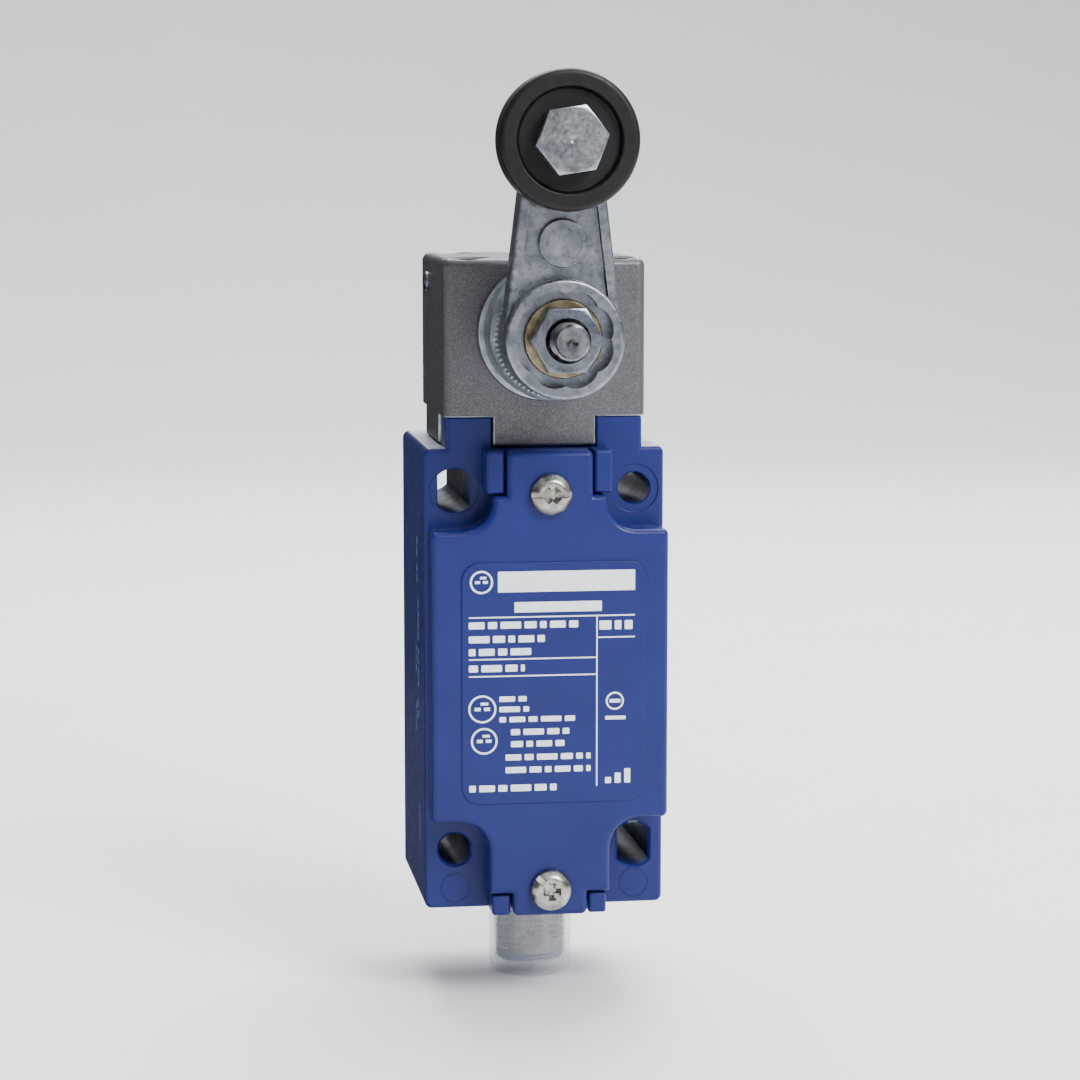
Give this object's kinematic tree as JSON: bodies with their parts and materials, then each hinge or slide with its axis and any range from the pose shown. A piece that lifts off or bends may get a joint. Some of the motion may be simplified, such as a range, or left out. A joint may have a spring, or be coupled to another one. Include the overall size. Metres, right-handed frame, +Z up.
{
  "type": "limit switch",
  "caption": "Die-cast limit switch body with screwed cover and M12 connector, and a sprung roller-lever head that works its contacts.",
  "frame": {"origin": "on the rear mounting face, midway between the four fixing holes", "axes": "+X to the right seen from the front, -Y out of the cover towards the viewer, +Z up from the connector to the roller"},
  "size_m": [0.04, 0.0666, 0.1534],
  "materials": {
    "blue_paint": "semi-gloss stoved enamel on a die casting",
    "grey_paint": "fine metallic grey enamel on a die casting",
    "bare_zinc": "bare zinc die casting, passivated",
    "zinc_plated_steel": "zinc plated, turned",
    "dark_steel": "dark steel, turned and rolled",
    "brass": "satin",
    "nickel": "nickel plated brass",
    "silver": "silver contacts",
    "black_plastic": "moulded, fine grain",
    "grey_plastic": "moulded, satin",
    "white_plastic": "moulded, satin",
    "rubber": "moulded nitrile rubber",
    "blue_rubber": "moulded rubber",
    "nylon": "natural nylon",
    "clear_cap": "translucent polyethylene",
    "wire_brown": "wire insulation",
    "wire_white": "wire insulation",
    "wire_blue": "wire insulation",
    "wire_black": "wire insulation"
  },
  "bodies": {
    "body": {"housing": "blue_paint", "cover_gasket": "rubber", "head_gasket": "rubber", "contact_block_base": "black_plastic", "contact_block_front": "grey_plastic", "block_screw_1": "zinc_plated_steel", "block_screw_2": "zinc_plated_steel", "terminal_1": "brass", "terminal_2": "brass", "terminal_3": "brass", "terminal_4": "brass", "terminal_screw_1": "zinc_plated_steel", "terminal_screw_2": "zinc_plated_steel", "terminal_screw_3": "zinc_plated_steel", "terminal_screw_4": "zinc_plated_steel", "earth_screw": "brass", "contact_spring": "zinc_plated_steel", "wire_1": "wire_brown", "wire_2": "wire_white", "wire_3": "wire_blue", "wire_4": "wire_black", "connector_adapter": "black_plastic", "connector_shell": "nickel", "connector_o_ring": "blue_rubber", "connector_insert": "black_plastic", "connector_pin_1": "brass", "connector_pin_2": "brass", "connector_pin_3": "brass", "connector_pin_4": "brass"},
    "cover_body": {"cover": "blue_paint", "cover_screw_top": "zinc_plated_steel", "cover_screw_bottom": "zinc_plated_steel"},
    "cap_body": {"protective_cap": "clear_cap"},
    "contact_plunger_body": {"contact_plunger": "white_plastic"},
    "contact_bridge_body": {"contact_bridge": "silver"},
    "head_body": {"head_housing": "grey_paint", "head_screw_1": "zinc_plated_steel", "head_screw_2": "zinc_plated_steel", "head_screw_3": "zinc_plated_steel", "head_screw_4": "zinc_plated_steel", "retaining_disc": "grey_plastic", "side_pin": "dark_steel", "shaft_bush": "brass", "shaft_seal": "rubber", "return_spring": "zinc_plated_steel"},
    "plunger_body": {"plunger_sleeve": "black_plastic", "plunger_tip": "white_plastic"},
    "shaft_body": {"operating_shaft": "dark_steel", "cam": "zinc_plated_steel", "indexing_ring": "bare_zinc", "castellated_hub": "bare_zinc"},
    "lever_body": {"lever_arm": "bare_zinc", "roller_bolt": "zinc_plated_steel", "roller_washer": "nylon", "lever_washer": "brass", "lever_nut": "zinc_plated_steel"},
    "roller_body": {"roller": "black_plastic", "roller_bush": "brass"}
  },
  "joints": [
    {"name": "head_off", "type": "slide", "parent": "body", "child": "head_body", "axis": [0, 0, 1], "range_m": [0, 0.045]},
    {"name": "lever_swing", "type": "hinge", "parent": "head_body", "child": "shaft_body", "pos_m": [0, -0.0187, 0.056], "axis": [0, 1, 0], "range_deg": [-70, 70], "stiffness_Nm_per_rad": 0.15},
    {"name": "lever_off", "type": "slide", "parent": "shaft_body", "child": "lever_body", "axis": [0, -1, 0], "range_m": [0, 0.025]},
    {"name": "roller_spin", "type": "hinge", "parent": "lever_body", "child": "roller_body", "pos_m": [0, -0.06, 0.087], "axis": [0, 1, 0], "continuous": true},
    {"name": "plunger_press", "type": "slide", "parent": "head_body", "child": "plunger_body", "axis": [0, 0, -1], "range_m": [0, 0.005], "stiffness_N_per_m": 800, "springref_m": -0.002, "deforming": ["return_spring"]},
    {"name": "contact_push", "type": "slide", "parent": "body", "child": "contact_plunger_body", "axis": [0, 0, -1], "range_m": [0, 0.005]},
    {"name": "bridge_drop", "type": "slide", "parent": "body", "child": "contact_bridge_body", "axis": [0, 0, -1], "range_m": [0, 0.002], "deforming": ["contact_spring"]},
    {"name": "cover_off", "type": "slide", "parent": "body", "child": "cover_body", "axis": [0, -1, 0], "range_m": [0, 0.035]},
    {"name": "cap_off", "type": "slide", "parent": "body", "child": "cap_body", "axis": [0, 0, -1], "range_m": [0, 0.015]}
  ],
  "couplings": [
    {"joint": "contact_push", "follows": "plunger_press", "ratio": 1},
    {"joint": "bridge_drop", "follows": "plunger_press", "ratio": 0.4}
  ]
}
